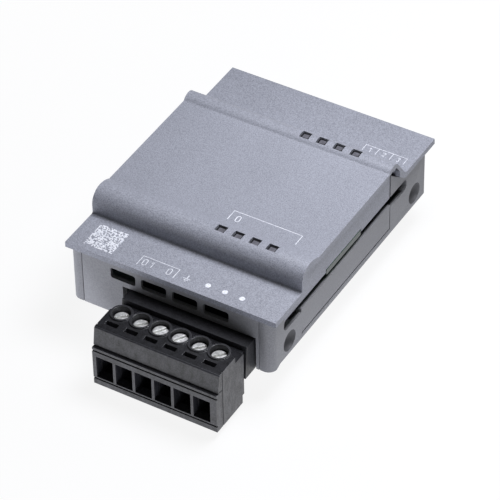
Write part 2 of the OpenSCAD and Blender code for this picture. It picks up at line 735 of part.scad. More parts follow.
// Chip with a row of legs down each long side
module chip(w, d, h, legs) {
    lift = leg_w / 2;
    box([-w / 2, -d / 2, lift], [w / 2, d / 2, h]);
    for (i = [0 : legs - 1], s = [-1, 1]) translate([s * (w / 2), (i - (legs - 1) / 2) * leg_pitch, 0])
        box([s > 0 ? -eps : -leg_out, -leg_w / 2, 0], [s > 0 ? leg_out : eps, leg_w / 2, 2 * lift]);
}

module converter_chip() {
    color("#26272a") on_board(-0.41, 0.33) chip(converter_w, converter_d, chip_h, 4);
}

module processor_chip() {
    color("#26272a") on_board(-0.45, 0.545) chip(processor_w, processor_w, chip_h, 5);
}

module isolator_chips() {
    color("#2b2c30") for (v = [0.43, 0.59]) on_board(0.47, v) chip(isolator_w, isolator_d, chip_h, 3);
}

// Small flat transformer: a spool-shaped core with a groove for its windings
module power_transformer() {
    h = rear_flange_h - skin_t - board_top - transformer_gap;
    lip = h / 4;
    color("#3a3632") on_board(0.5, 0.89) rotate_extrude() polygon([[transformer_r / 3, 0], [transformer_r, 0],
        [transformer_r, lip], [transformer_r * 0.7, lip], [transformer_r * 0.7, h - lip],
        [transformer_r, h - lip], [transformer_r, h], [transformer_r / 3, h]]);
}

module power_inductor() {
    dish = inductor_h / 7;
    color("#4a4a4c") on_board(-0.47, 0.73) difference() {
        box([-inductor_w / 2, -inductor_w / 2, 0], [inductor_w / 2, inductor_w / 2, inductor_h]);
        translate([0, 0, inductor_h - dish]) cylinder(r = inductor_w / 3, h = 2 * dish);
    }
}

module capacitors() {
    color("#c9a45c") for (p = [[-0.78, 0.33], [-0.78, 0.41], [-0.12, 0.67], [0.16, 0.67], [0.79, 0.67]])
        on_board(p[0], p[1]) box([-capacitor_w / 2, -capacitor_d / 2, 0],
            [capacitor_w / 2, capacitor_d / 2, capacitor_d]);
}

module resistors() {
    color("#1d1d1f") for (i = [0 : 4], v = [0.86, 0.915])
        on_board(-0.13 * i - 0.13, v) box([-resistor_w / 2, -resistor_d / 2, 0],
            [resistor_w / 2, resistor_d / 2, resistor_h]);
}

// Four surface-mount lamps under one light guide
module lamps(y) {
    color("#e9e6d2") for (x = light_xs)
        box([x - lamp_w / 2, y - lamp_d / 2, up(board_top)],
            [x + lamp_w / 2, y + lamp_d / 2, up(board_top + lamp_h)]);
}

module lamps_front() lamps(light_front_y);

module lamps_rear() lamps(crest_rear_y);

// Clear light guide: a bar on two feet, with one finger up to each window
module light_guide(y) {
    x0 = light_xs[0] - light_w / 2 - 0.8;
    x1 = light_xs[lights - 1] + light_w / 2 + 0.8;
    color("#8d8a84") {
        box([x0, y - light_d / 2, up(guide_lo)], [x1, y + light_d / 2, up(guide_lo + guide_t)]);
        for (x = [x0, x1 - 0.6])
            box([x, y - light_d / 2, up(board_top)], [x + 0.6, y + light_d / 2, up(guide_lo + guide_t)]);
        light_row(y, up(guide_lo + guide_t / 2), up(ridge_h - light_sink), -light_gap);
    }
}

module light_guide_front() light_guide(light_front_y);

module light_guide_rear() light_guide(crest_rear_y);

// ---- terminals -----------------------------------------------------------------------------------

// Header on the board: an open-fronted box that the plug's nose slides into
module terminal_header() {
    foot_w = 1.6;                   // feet that carry the board
    foot_d = 2;
    lean_per_mm = header_lean / header_h;
    color("#232427") difference() {
        union() {
            box([header_x0, header_y0, up(header_lo)], [header_x1, header_y1, up(header_top)]);
            for (x = [header_x0, header_x1 - foot_w])
                box([x, header_y1 - foot_d, up(header_top) - eps], [x + foot_w, header_y1, up(board_z)]);
        }
        // the front face leans back
        along_x(header_x0 - 1, header_x1 + 1) polygon([[header_y0 - lean_per_mm, up(header_lo) - 1],
            [header_y0 + header_lean + lean_per_mm, up(header_top) + 1], [header_y0 - 1, up(header_top) + 1],
            [header_y0 - 1, up(header_lo) - 1]]);
        box([header_x0 + header_side_t, header_y0 - 1, up(cavity_lo)],
            [header_x1 - header_side_t, header_y1 - header_back_t, up(cavity_hi)]);
        for (i = [0 : poles - 1])
            box([pole(i) - pin_s / 2, header_y1 - header_back_t - 1, up(pin_z) - pin_s / 2],
                [pole(i) + pin_s / 2, header_y1 + 1, up(pin_z) + pin_s / 2]);
    }
}

// Bent pins: forwards into the header's box, up through the board
module header_pins() {
    color("#c8c9cc") for (i = [0 : poles - 1]) {
        box([pole(i) - pin_s / 2, header_y0 + 1, up(pin_z) - pin_s / 2],
            [pole(i) + pin_s / 2, header_y1 + pin_s, up(pin_z) + pin_s / 2]);
        box([pole(i) - pin_s / 2, header_y1, up(pin_z) - pin_s / 2],
            [pole(i) + pin_s / 2, header_y1 + pin_s, up(board_top) + 0.8]);
    }
}

// Plug housing: screw shafts and clamp cells, with the nose behind
module plug_housing() {
    key_w = 2.2;                    // key slot in front of each screw
    key_d = 0.9;
    key_y = screw_axis_y - 2.8;
    band_lean = 0.45;               // the upper band leans back to a narrow bevelled brow
    brow_d = 0.65;
    brow_h = 0.2;
    groove = 0.16;
    groove_back = 1.25;             // from the upper band's face to the grooves
    heel_d = 0.5;
    heel_h = 1.6;
    color("#3f3f42") difference() {
        union() {
            along_x(plug_x0, plug_x1) polygon([[band_y, up(frame_top + frame_seam)],
                [band_y + band_lean, up(plug_top - brow_h)],
                [band_y + brow_d, up(plug_top)], [top_end_y, up(plug_top)],
                    [top_end_y, up(frame_top + frame_seam)]]);
            box([plug_x0, frame_y1, up(plug_lo)], [plug_x1, plug_y1, up(plug_top - collar_step)]);
            for (i = [0 : poles - 1]) translate([pole(i), screw_axis_y, up(plug_top - collar_step) - eps])
                cylinder(r = collar_r, h = collar_step + 0.25);
            box([nose_x0, plug_y1 - eps, up(cavity_lo) + nose_gap],
                [nose_x1, nose_y1, up(cavity_hi) - nose_gap]);
        }
        for (i = [0 : poles - 1]) {
            // cell, screw shaft and screwdriver hole
            box([pole(i) - cell_w / 2, frame_y1 - 1, up(cell_lo)],
                [pole(i) + cell_w / 2, cell_y1, up(frame_top - 0.6)]);
            box([pole(i) - cell_w / 2, band_y + 1, up(frame_top) - 1],
                [pole(i) + cell_w / 2, cell_y1, up(cell_hi)]);
            translate([pole(i), screw_axis_y, up(cell_hi) - 1])
                cylinder(r = shank_r + screw_gap, h = shelf_t + 2);
            translate([pole(i), screw_axis_y, up(shelf_z)]) cylinder(r = driver_r, h = big);
            // way for the contact, from the cell to the nose
            box([pole(i) - bar_w / 2 - socket_gap, cell_y1 - 1, up(bar_hi - metal_t - socket_gap)],
                [pole(i) + bar_w / 2 + socket_gap, plug_y1 - 0.4, up(pin_z) + socket_w / 2 + socket_gap]);
            box([pole(i) - socket_w / 2 - socket_gap, cell_y1 - eps, up(pin_z) - socket_w / 2 - socket_gap],
                [pole(i) + socket_w / 2 + socket_gap, nose_y1 + 1, up(pin_z) + socket_w / 2 + socket_gap]);
            // key slot
            box([pole(i) - key_w / 2, key_y - key_d / 2, up(plug_top) - 1.2],
                [pole(i) + key_w / 2, key_y + key_d / 2, up(plug_top) + 1]);
        }
        // upright grooves at both ends, and a step along the rear of the underside
        for (x = [plug_x0, plug_x1]) box([x - groove, band_y + groove_back, up(plug_lo) - 1],
            [x + groove, band_y + groove_back + groove, up(plug_top) + 1]);
        box([plug_x0 - 1, plug_y1 - heel_d, up(plug_lo) - 1],
            [plug_x1 + 1, plug_y1 + 1, up(plug_lo + heel_h)]);
    }
}

// Wire frame: the proud lower front of the plug, with one window for each wire
module plug_wire_frame() {
    groove = 0.25;
    color("#37373a") difference() {
        box([plug_x0, plug_y0, up(plug_lo)], [plug_x1, frame_y1, up(frame_top)]);
        for (i = [0 : poles - 1])
            box([pole(i) - wire_w / 2, plug_y0 - 1, up(wire_lo)],
                [pole(i) + wire_w / 2, frame_y1 + 1, up(wire_lo + wire_h)]);
        for (z = [frame_top - 0.8, wire_lo - 0.55])
            box([plug_x0 - 1, plug_y0 - 1, up(z)], [plug_x1 + 1, plug_y0 + groove, up(z) + groove]);
    }
}

// Tinned contacts: a bar through each clamp cage and a box that grips the header's pin
module plug_contacts() {
    inner = pin_s + 2 * grip_gap;
    bar_y0 = screw_axis_y - cage_d / 2 - 0.6;
    riser_y = plug_y1 - 0.8;
    color("#b9bbbe") for (i = [0 : poles - 1]) difference() {
        union() {
            box([pole(i) - bar_w / 2, bar_y0, up(bar_hi - metal_t)],
                [pole(i) + bar_w / 2, riser_y + metal_t, up(bar_hi)]);
            box([pole(i) - bar_w / 2, riser_y, up(bar_hi - metal_t)],
                [pole(i) + bar_w / 2, riser_y + metal_t, up(pin_z) + socket_w / 2]);
            box([pole(i) - socket_w / 2, riser_y, up(pin_z) - socket_w / 2],
                [pole(i) + socket_w / 2, nose_y1 - 0.4, up(pin_z) + socket_w / 2]);
        }
        box([pole(i) - inner / 2, riser_y + metal_t, up(pin_z) - inner / 2],
            [pole(i) + inner / 2, nose_y1 + 1, up(pin_z) + inner / 2]);
    }
}

// Slotted clamp screw number i, counted from 0
module clamp_screw(i) {
    lift = screw_lift[i];
    slot_w = 0.45;
    slot_depth = 0.45;
    edge = 0.2;
    z0 = shelf_z + screw_seat + lift;
    color("#c4c5c8") translate([pole(i), screw_axis_y, 0]) difference() {
        union() {
            translate([0, 0, up(screw_tip)]) cylinder(r = shank_r, h = z0 - screw_tip + eps);
            translate([0, 0, up(z0)]) rotate_extrude()
                polygon([[0, 0], [head_r, 0], [head_r, head_h - edge], [head_r - edge, head_h], [0, head_h]]);
        }
        rotate([0, 0, slot_turn[i]])
            box([-head_r - 1, -slot_w / 2, up(z0 + head_h - slot_depth)],
                [head_r + 1, slot_w / 2, up(z0 + head_h + 1)]);
    }
}

// Rising clamp cage number i, counted from 0, at its lowest place
module clamp_cage(i) {
    color("#a9abae") translate([pole(i), screw_axis_y, 0]) difference() {
        box([-cage_w / 2, -cage_d / 2, up(cage_lo)], [cage_w / 2, cage_d / 2, up(cage_hi)]);
        box([-cage_w / 2 + cage_t, -cage_d, up(cage_lo + cage_t)],
            [cage_w / 2 - cage_t, cage_d, up(cage_hi - cage_top_t)]);
        translate([0, 0, up(cage_hi - cage_top_t - cage_rise) - screw_below])
            cylinder(r = shank_r + screw_gap, h = cage_top_t + cage_rise + 1);
    }
}

module clamp_screw_1() clamp_screw(0);
module clamp_screw_2() clamp_screw(1);
module clamp_screw_3() clamp_screw(2);
module clamp_screw_4() clamp_screw(3);
module clamp_screw_5() clamp_screw(4);
module clamp_screw_6() clamp_screw(5);
module clamp_cage_1() clamp_cage(0);
module clamp_cage_2() clamp_cage(1);
module clamp_cage_3() clamp_cage(2);
module clamp_cage_4() clamp_cage(3);
module clamp_cage_5() clamp_cage(4);
module clamp_cage_6() clamp_cage(5);

// ---- bus connector -------------------------------------------------------------------------------

// Socket strip that hangs from the board and stands out below the base
module bus_connector() {
    color("#2a2b2e") difference() {
        box([bus_x - bus_w / 2, bus_y_mid - bus_len / 2, 0],
            [bus_x + bus_w / 2, bus_y_mid + bus_len / 2, up(board_z)]);
        bus_grid() box([-bus_pin_s, -bus_pin_s, -1], [bus_pin_s, bus_pin_s, bus_drop - bus_lip]);
        bus_grid() box([-bus_pin_s / 2, -bus_pin_s / 2, 0], [bus_pin_s / 2, bus_pin_s / 2, up(big)]);
    }
}

// Contacts of the bus connector: a stem through the strip and the board over a small box
module bus_contacts() {
    color("#c9ad6a") bus_grid() {
        box([-bus_pin_s / 2, -bus_pin_s / 2, bus_drop - bus_lip - eps],
            [bus_pin_s / 2, bus_pin_s / 2, up(board_top + bus_tail)]);
        difference() {
            box([-bus_pin_s, -bus_pin_s, bus_sink], [bus_pin_s, bus_pin_s, bus_drop - bus_lip]);
            box([-bus_pin_s + bus_metal, -bus_pin_s + bus_metal, 0],
                [bus_pin_s - bus_metal, bus_pin_s - bus_metal, bus_drop - bus_lip - 2 * bus_metal]);
        }
    }
}

top_cover();
base_shell();
board_carrier();
circuit_board();
terminal_header();
header_pins();
plug_housing();
plug_wire_frame();
plug_contacts();
clamp_screw_1();
clamp_screw_2();
clamp_screw_3();
clamp_screw_4();
clamp_screw_5();
clamp_screw_6();
clamp_cage_1();
clamp_cage_2();
clamp_cage_3();
clamp_cage_4();
clamp_cage_5();
clamp_cage_6();
light_guide_front();
light_guide_rear();
lamps_front();
lamps_rear();
bus_connector();
bus_contacts();
converter_chip();
processor_chip();
isolator_chips();
power_transformer();
power_inductor();
capacitors();
resistors();
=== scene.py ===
import math

import bmesh
import bpy
from mathutils import Matrix, Vector


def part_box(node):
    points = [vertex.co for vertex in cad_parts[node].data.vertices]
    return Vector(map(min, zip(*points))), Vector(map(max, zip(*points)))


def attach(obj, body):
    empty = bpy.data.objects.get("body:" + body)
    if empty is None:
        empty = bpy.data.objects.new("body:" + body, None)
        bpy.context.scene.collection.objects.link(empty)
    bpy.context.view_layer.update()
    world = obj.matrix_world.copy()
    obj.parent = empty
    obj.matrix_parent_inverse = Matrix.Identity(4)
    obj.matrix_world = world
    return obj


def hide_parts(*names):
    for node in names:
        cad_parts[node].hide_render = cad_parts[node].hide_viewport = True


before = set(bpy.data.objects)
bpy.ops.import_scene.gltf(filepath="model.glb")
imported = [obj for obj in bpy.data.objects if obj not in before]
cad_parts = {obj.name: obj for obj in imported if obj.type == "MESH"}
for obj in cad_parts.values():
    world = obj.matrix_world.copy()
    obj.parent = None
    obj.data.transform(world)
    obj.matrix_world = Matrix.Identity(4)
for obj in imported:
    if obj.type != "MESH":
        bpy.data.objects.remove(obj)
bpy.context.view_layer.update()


# ---- Camera and studio ---------------------------------------------------------------------------
# A long lens looks down at the front right corner. The part lies on a white light table, under one
# soft lamp that hangs a little to the right.
MM = 0.001
scene = bpy.context.scene
scene.view_settings.view_transform = "Standard"


def srgb(code):
    """An sRGB hex colour as the linear colour that a shader takes."""
    parts = [int(code[i:i + 2], 16) / 255 for i in (1, 3, 5)]
    return [c / 12.92 if c <= 0.04045 else ((c + 0.055) / 1.055) ** 2.4 for c in parts] + [1.0]


def add(tree, kind, inputs=None, **settings):
    """Adds a node: its settings, then its inputs, each a value or another node's output."""
    node = tree.nodes.new(kind)
    for name, value in settings.items():
        setattr(node, name, value)
    for name, value in (inputs or {}).items():
        if isinstance(value, bpy.types.NodeSocket):
            tree.links.new(value, node.inputs[name])
        else:
            node.inputs[name].default_value = value
    return node


def blank(name):
    """A material with an empty tree, and that tree."""
    material = bpy.data.materials.new(name)
    material.use_nodes = True
    material.node_tree.nodes.clear()
    return material, material.node_tree


camera_azimuth = math.radians(31.283)
camera_elevation = math.radians(41.344)
camera_roll = math.radians(-1.101)
camera_distance = 0.50756
aim_right, aim_up, aim_height = 2.168 * MM, 0.078 * MM, 8 * MM
film_width, lens_length = 36, 229.43            # both in mm

back = Vector((math.sin(camera_azimuth) * math.cos(camera_elevation),
               -math.cos(camera_azimuth) * math.cos(camera_elevation), math.sin(camera_elevation)))
level = Vector((math.cos(camera_azimuth), math.sin(camera_azimuth), 0))
rise = back.cross(level)
camera_x = level * math.cos(camera_roll) + rise * math.sin(camera_roll)
camera_y = rise * math.cos(camera_roll) - level * math.sin(camera_roll)
aim = level * aim_right + rise * aim_up + Vector((0, 0, aim_height))
camera_data = bpy.data.cameras.new("camera")
camera_data.sensor_width = film_width
camera_data.lens = lens_length
camera_data.clip_start, camera_data.clip_end = 0.01, 20
camera = bpy.data.objects.new("camera", camera_data)
scene.collection.objects.link(camera)
camera.matrix_world = Matrix.Translation(aim + back * camera_distance) @ \
    Matrix((camera_x, camera_y, back)).transposed().to_4x4()
scene.camera = camera

softbox_place = Vector((0.030, 0.018, 0.13))
softbox_aim = Vector((0, 0, 0.01))
softbox_side, softbox_watts = 0.06, 0.198
softbox = bpy.data.lights.new("overhead_softbox", "AREA")
softbox.shape, softbox.size, softbox.energy = "SQUARE", softbox_side, softbox_watts
softbox.color = srgb("#f4f6ff")[:3]
lamp = bpy.data.objects.new("overhead_softbox", softbox)
scene.collection.objects.link(lamp)
lamp.location = softbox_place
lamp.rotation_euler = (softbox_aim - softbox_place).to_track_quat("-Z", "Y").to_euler()

# The room is dim for the part and white for the camera
room_light, room_seen = 0.05, 1.0
world = bpy.data.worlds.new("studio")
scene.world = world
world.use_nodes = True
world.node_tree.nodes.clear()
path = add(world.node_tree, "ShaderNodeLightPath")
seen = add(world.node_tree, "ShaderNodeMath", {0: path.outputs["Is Camera Ray"],
           1: path.outputs["Is Transmission Ray"]}, operation="MAXIMUM")
room = add(world.node_tree, "ShaderNodeMapRange", {"Value": seen.outputs[0], "To Min": room_light,
           "To Max": room_seen})
sky = add(world.node_tree, "ShaderNodeBackground", {"Color": srgb("#ffffff"),
          "Strength": room.outputs[0]})
add(world.node_tree, "ShaderNodeOutputWorld", {"Surface": sky.outputs[0]})

# Light table of white acrylic: it glows from below, most of all in front, and keeps a soft shadow
brightest_spot = (-0.04, -0.05, 0)
bright_reach, dim_reach = 0.02, 0.14            # metres from that spot
bright_glow, dim_glow = 2.7, 0.34
white_near, white_far = 1.04, 1.20              # as seen, close to the part and far from it
near_reach, far_reach = 0.04, 0.20
glow_share = 0.85
table_paint, tree = blank("White_acrylic_light_table")
path = add(tree, "ShaderNodeLightPath")
seen = add(tree, "ShaderNodeMath", {0: path.outputs["Is Camera Ray"], 1: path.outputs["Is Glossy Ray"]},
           operation="MAXIMUM")
spot = add(tree, "ShaderNodeTexCoord").outputs["Object"]
away = add(tree, "ShaderNodeVectorMath", {0: spot}, operation="LENGTH").outputs["Value"]
off_spot = add(tree, "ShaderNodeVectorMath", {0: spot, 1: brightest_spot},
               operation="DISTANCE").outputs["Value"]
lit = add(tree, "ShaderNodeMapRange", {"Value": off_spot, "From Min": bright_reach,
          "From Max": dim_reach, "To Min": bright_glow, "To Max": dim_glow})
shown = add(tree, "ShaderNodeMapRange", {"Value": away, "From Min": near_reach,
            "From Max": far_reach, "To Min": white_near, "To Max": white_far})
strength = add(tree, "ShaderNodeMapRange", {"Value": seen.outputs[0], "To Min": lit.outputs[0],
               "To Max": shown.outputs[0]})
acrylic = add(tree, "ShaderNodeBsdfDiffuse", {"Color": srgb("#ededed")})
tint = add(tree, "ShaderNodeMix", {0: seen.outputs[0], 6: srgb("#eef1ff"), 7: srgb("#ffffff")},
           data_type="RGBA")
glow = add(tree, "ShaderNodeEmission", {"Color": tint.outputs[2], "Strength": strength.outputs[0]})
mixed = add(tree, "ShaderNodeMixShader", {0: glow_share, 1: acrylic.outputs[0], 2: glow.outputs[0]})
add(tree, "ShaderNodeOutputMaterial", {"Surface": mixed.outputs[0]})
table_half = 3.0
table_mesh = bpy.data.meshes.new("table")
table_mesh.from_pydata([(-table_half, -table_half, 0), (table_half, -table_half, 0),
                        (table_half, table_half, 0), (-table_half, table_half, 0)], [], [(0, 1, 2, 3)])
table_mesh.materials.append(table_paint)
table = bpy.data.objects.new("table", table_mesh)
scene.collection.objects.link(table)


# ---- Top cover -----------------------------------------------------------------------------------
# The stepped lid is one moulding of grey polycarbonate blend. Its mould was spark-eroded, which
# leaves an even field of tiny pits that scatter the light; edges come out a little smoother.
to_mm = (1000, 1000, 1000)                      # object coordinates in millimetres
noise_low, noise_high = 0.3, 0.7                # most of a noise's values lie between these


def eroded_plastic(name, colour, contrast, roughness, grain=0.26, depth=0.010):
    """Moulded plastic with a spark-eroded skin; its 0.05 mm pits are drawn grain mm wide to show."""
    material, tree = blank(name)
    place = add(tree, "ShaderNodeTexCoord").outputs["Object"]
    in_mm = add(tree, "ShaderNodeMapping", {"Vector": place, "Scale": to_mm}).outputs[0]
    pits = add(tree, "ShaderNodeTexNoise", {"Vector": in_mm, "Scale": 1 / grain, "Detail": 2.0,
               "Roughness": 0.65})
    flow = add(tree, "ShaderNodeTexNoise", {"Vector": in_mm, "Scale": 0.09, "Detail": 1.0})
    fine = add(tree, "ShaderNodeMapRange", {"Value": pits.outputs[0], "From Min": noise_low,
               "From Max": noise_high, "To Min": 1 - contrast, "To Max": 1 + contrast})
    broad = add(tree, "ShaderNodeMapRange", {"Value": flow.outputs[0], "From Min": noise_low,
                "From Max": noise_high, "To Min": 0.97, "To Max": 1.03})
    shade = add(tree, "ShaderNodeMath", {0: fine.outputs[0], 1: broad.outputs[0]}, operation="MULTIPLY")
    tone = add(tree, "ShaderNodeVectorMath", {0: srgb(colour)[:3], "Scale": shade.outputs[0]},
               operation="SCALE")
    dull = add(tree, "ShaderNodeMapRange", {"Value": pits.outputs[0], "From Min": noise_low,
               "From Max": noise_high, "To Min": roughness - 0.06, "To Max": roughness + 0.06})
    relief = add(tree, "ShaderNodeBump", {"Height": pits.outputs[0], "Distance": depth * MM,
                 "Strength": 0.6})
    skin = add(tree, "ShaderNodeBsdfPrincipled", {"Base Color": tone.outputs[0],
               "Roughness": dull.outputs[0], "Normal": relief.outputs[0], "IOR": 1.55})
    add(tree, "ShaderNodeOutputMaterial", {"Surface": skin.outputs[0]})
    return material


weld = 1e-6                                     # metres
flat_angle, sharp_angle = math.radians(0.2), math.radians(35)


def rounded_copy(node, name, body, radius, skin, edge):
    """Stands for a CAD node: the same solid with its sharp edges rounded as a mould leaves them."""
    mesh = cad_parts[node].data.copy()
    mesh.name = name
    piece = bpy.data.objects.new(name, mesh)
    scene.collection.objects.link(piece)
    work = bmesh.new()
    work.from_mesh(mesh)
    bmesh.ops.remove_doubles(work, verts=work.verts, dist=weld)
    bmesh.ops.dissolve_limit(work, angle_limit=flat_angle, verts=work.verts, edges=work.edges)
    work.to_mesh(mesh)
    work.free()
    mesh.materials.clear()
    mesh.materials.append(skin)
    mesh.materials.append(edge)
    for face in mesh.polygons:
        face.material_index = 0
    mesh.shade_smooth()
    mesh.set_sharp_from_angle(angle=sharp_angle)
    if radius:
        bevel = piece.modifiers.new("moulded_edges", "BEVEL")
        bevel.width, bevel.segments, bevel.profile = radius * MM, 2, 0.5
        bevel.limit_method, bevel.angle_limit = "ANGLE", sharp_angle
        bevel.use_clamp_overlap, bevel.harden_normals, bevel.material = True, True, 1
        bevel.miter_outer = "MITER_SHARP"
    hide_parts(node)
    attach(piece, body)
    return piece


cover_skin = eroded_plastic("Spark_eroded_polycarbonate_blue_grey", "#989aa2", 0.36, 0.48,
                            grain=0.17, depth=0.030)
cover_edge = eroded_plastic("Polycarbonate_moulded_edge_blue_grey", "#a3a5ac", 0.06, 0.45, depth=0.004)
# Painted shade: a darker grey for the skin's inside under the rear bead
cover_shade = eroded_plastic("Polycarbonate_painted_shade_inside_ridge", "#55565c", 0.2, 0.55)
cover_round = 0.10
cover = rounded_copy("top_cover", "top_cover_moulding", "casing", cover_round,
                     cover_skin, cover_edge)

# The rear ridge stands out of the deck as a half-round bead with a crease at its foot. The solid
# has a long slope there, so its skin is cut along the bead's lines and let down onto them.
deck_z = 20.2
bead_top, bead_r = 21.0, 1.75
bead_steps = 6
slope_r = 5.0                                   # radius of the solid's slope, from its crest down
on_skin, on_line = 0.03, 1e-4                   # how close counts as on the slope, or on a line
low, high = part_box("light_guide_rear")
bead_y = (low.y + high.y) / 2 / MM
crease = math.acos((deck_z - bead_top + bead_r) / bead_r)
bead_line = [(bead_y - slope_r, deck_z)]
for step in range(bead_steps + 1):
    angle = crease * (1 - step / bead_steps)
    bead_line.append((bead_y - bead_r * math.sin(angle), bead_top - bead_r + bead_r * math.cos(angle)))
work = bmesh.new()
work.from_mesh(cover.data)
for y, _ in bead_line[1:-1]:
    bmesh.ops.bisect_plane(work, geom=work.verts[:] + work.edges[:] + work.faces[:], dist=weld,
                           plane_co=(0, y * MM, 0), plane_no=(0, 1, 0))
for vertex in work.verts:
    along = vertex.co.y / MM
    if not -slope_r < along - bead_y < 0:
        continue
    slope_z = max(deck_z, bead_top - slope_r + math.sqrt(slope_r ** 2 - (along - bead_y) ** 2))
    if abs(vertex.co.z / MM - slope_z) < on_skin:
        for (y0, z0), (y1, z1) in zip(bead_line, bead_line[1:]):
            if y0 - on_line <= along <= y1 + on_line:
                vertex.co.z = (z0 + (z1 - z0) * (along - y0) / (y1 - y0)) * MM
bmesh.ops.dissolve_limit(work, angle_limit=flat_angle, verts=work.verts, edges=work.edges)
work.to_mesh(cover.data)
work.free()
cover.data.shade_smooth()
cover.data.set_sharp_from_angle(angle=sharp_angle)

# Little light gets in under the bead, so the skin's inside there gets a darker colour: painted shade
shade_front, shade_back, shade_deep = -2.5, 4.5, 3          # from the crest, and below the deck
faces_down = -0.1
cover.data.materials.append(cover_shade)
for face in cover.data.polygons:
    under_bead = shade_front < face.center.y / MM - bead_y < shade_back
    if under_bead and face.center.z > (deck_z - shade_deep) * MM and face.normal.z < faces_down:
        face.material_index = 2


# ---- Prints on the cover -------------------------------------------------------------------------
# Brackets, dots, plain digits, an earth sign and a square field of cells are pad-printed in white
# ink, 0.02 mm thick. The ink is thin over the pits, so it looks slightly broken.
ink, tree = blank("Pad_printed_white_ink")
place = add(tree, "ShaderNodeTexCoord").outputs["Object"]
in_mm = add(tree, "ShaderNodeMapping", {"Vector": place, "Scale": to_mm}).outputs[0]
broken = add(tree, "ShaderNodeTexNoise", {"Vector": in_mm, "Scale": 4.0, "Detail": 2.0})
inked = add(tree, "ShaderNodeMapRange", {"Value": broken.outputs[0], "From Min": 0.35, "From Max": 0.6})
paint = add(tree, "ShaderNodeMix", {0: inked.outputs[0], 6: srgb("#d5d8de"), 7: srgb("#f5f6f9")},
            data_type="RGBA")
skin = add(tree, "ShaderNodeBsdfPrincipled", {"Base Color": paint.outputs[2], "Roughness": 0.55})
add(tree, "ShaderNodeOutputMaterial", {"Surface": skin.outputs[0]})

ink_thick = 0.02
front_flange_z = 16.9
rear_flange_z = 16.6


def ink_lines(name, strokes, width, height):
    """Strokes of ink at a height, each a list of points in mm: a round pen line pressed flat."""
    pen = bpy.data.curves.new(name, "CURVE")
    pen.dimensions, pen.bevel_depth = "3D", width / 2 * MM
    pen.bevel_resolution, pen.use_fill_caps = 1, True
    for points, closed in strokes:
        line = pen.splines.new("POLY")
        line.points.add(len(points) - 1)
        for spot, (x, y) in zip(line.points, points):
            spot.co = (x * MM, y * MM, 0, 1)
        line.use_cyclic_u = closed
    drawn = bpy.data.objects.new(name, pen)
    scene.collection.objects.link(drawn)
    bpy.context.view_layer.update()
    mesh = bpy.data.meshes.new_from_object(drawn.evaluated_get(bpy.context.evaluated_depsgraph_get()))
    bpy.data.objects.remove(drawn)
    for vertex in mesh.vertices:
        vertex.co.z = height * MM + vertex.co.z * ink_thick / width * 2
    mesh.materials.clear()
    mesh.materials.append(ink)
    piece = bpy.data.objects.new(name, mesh)
    scene.collection.objects.link(piece)
    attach(piece, "casing")
    return piece


def bracket(x0, x1, y_leg, y_bar, dividers=()):
    """A bar with a leg at each end, and more legs between."""
    shape = [([(x0, y_leg), (x0, y_bar), (x1, y_bar), (x1, y_leg)], False)]
    return shape + [([(x, y_leg), (x, y_bar)], False) for x in dividers]


digit_slimness = 0.52                           # a digit's width over its height


def digit(figure, x, y, tall):
    """A plain digit in single strokes, by the middle of its foot."""
    wide = tall * digit_slimness
    turn = [math.radians(a) for a in range(0, 360, 30)]
    if figure == 0:             # an upright oblong ring
        ring = [(wide / 2 * math.cos(a), tall / 2 + (tall - wide) / 2 * (1 if math.sin(a) > 0 else -1)
                 + wide / 2 * math.sin(a)) for a in turn]
        shapes = [(ring, True)]
    elif figure == 1:           # a short flag, then the stem
        shapes = [([(-wide * 0.35, tall * 0.72), (wide * 0.1, tall), (wide * 0.1, 0)], False)]
    elif figure == 2:           # a bow, a slant and a foot
        bow = [(wide / 2 * math.cos(math.radians(a)),
                tall - wide / 2 + wide / 2 * math.sin(math.radians(a)))
               for a in (160, 120, 90, 60, 30, 0, -30)]
        shapes = [(bow + [(-wide / 2, 0), (wide / 2, 0)], False)]
    else:                       # a three: two open bows
        r = tall / 4
        upper = [(r * math.cos(math.radians(a)), tall - r + r * math.sin(math.radians(a)))
                 for a in (150, 110, 70, 30, -10, -50, -90)]
        lower = [(r * math.cos(math.radians(a)), r + r * math.sin(math.radians(a)))
                 for a in (90, 50, 10, -30, -70, -110, -150)]
        shapes = [(upper + lower, False)]
    return [([(x + px, y + py) for px, py in points], closed) for points, closed in shapes]


def digits(row, foot, tall):
    """A row of digits that stand on one line, each given with its x."""
    return [stroke for figure, x in row for stroke in digit(figure, x, foot, tall)]


pen_w, fine_pen_w = 0.17, 0.14
tall, small = 1.35, 0.95                        # the two heights of digits

# Each bracket: left, right, ends of its legs, bar. Each row of digits: figure and x.
terminal_bracket, terminal_foot = (-6.55, 0.0, -18.9, -16.7), -18.6
terminal_row = ((0, -5.6), (1, -4.3), (0, -1.2))
earth_x, earth_top = 2.0, -17.2
earth_bars = ((0.65, -18.0), (0.4, -18.3), (0.15, terminal_foot))           # half length and y
earth_sign = [([(earth_x, earth_top), (earth_x, earth_bars[0][1])], False)]
for half, y in earth_bars:
    earth_sign.append(([(earth_x - half, y), (earth_x + half, y)], False))
ink_lines("print_front_flange", bracket(*terminal_bracket)
          + digits(terminal_row, terminal_foot, tall) + earth_sign, pen_w, front_flange_z)

lamp_bracket, lamp_foot = (2.2, 14.4, -6.1, -3.8), -5.95
lamp_row = ((0, 3.7),)
ink_lines("print_deck", bracket(*lamp_bracket) + digits(lamp_row, lamp_foot, tall), pen_w, deck_z)

rear_bracket, rear_foot = (10.1, 17.6, 22.8, 24.35), 22.95
rear_dividers = (12.5, 15.1)
rear_row = ((1, 11.3), (2, 13.8), (3, 16.4))
ink_lines("print_rear_flange", bracket(*rear_bracket, rear_dividers)
          + digits(rear_row, rear_foot, small), fine_pen_w, rear_flange_z)


def socket(group, name, kind, value=None, way="INPUT"):
    """A named input or output of a node group."""
    made = group.interface.new_socket(name=name, in_out=way, socket_type=kind)
    if value is not None:
        made.default_value = value
    return made.identifier


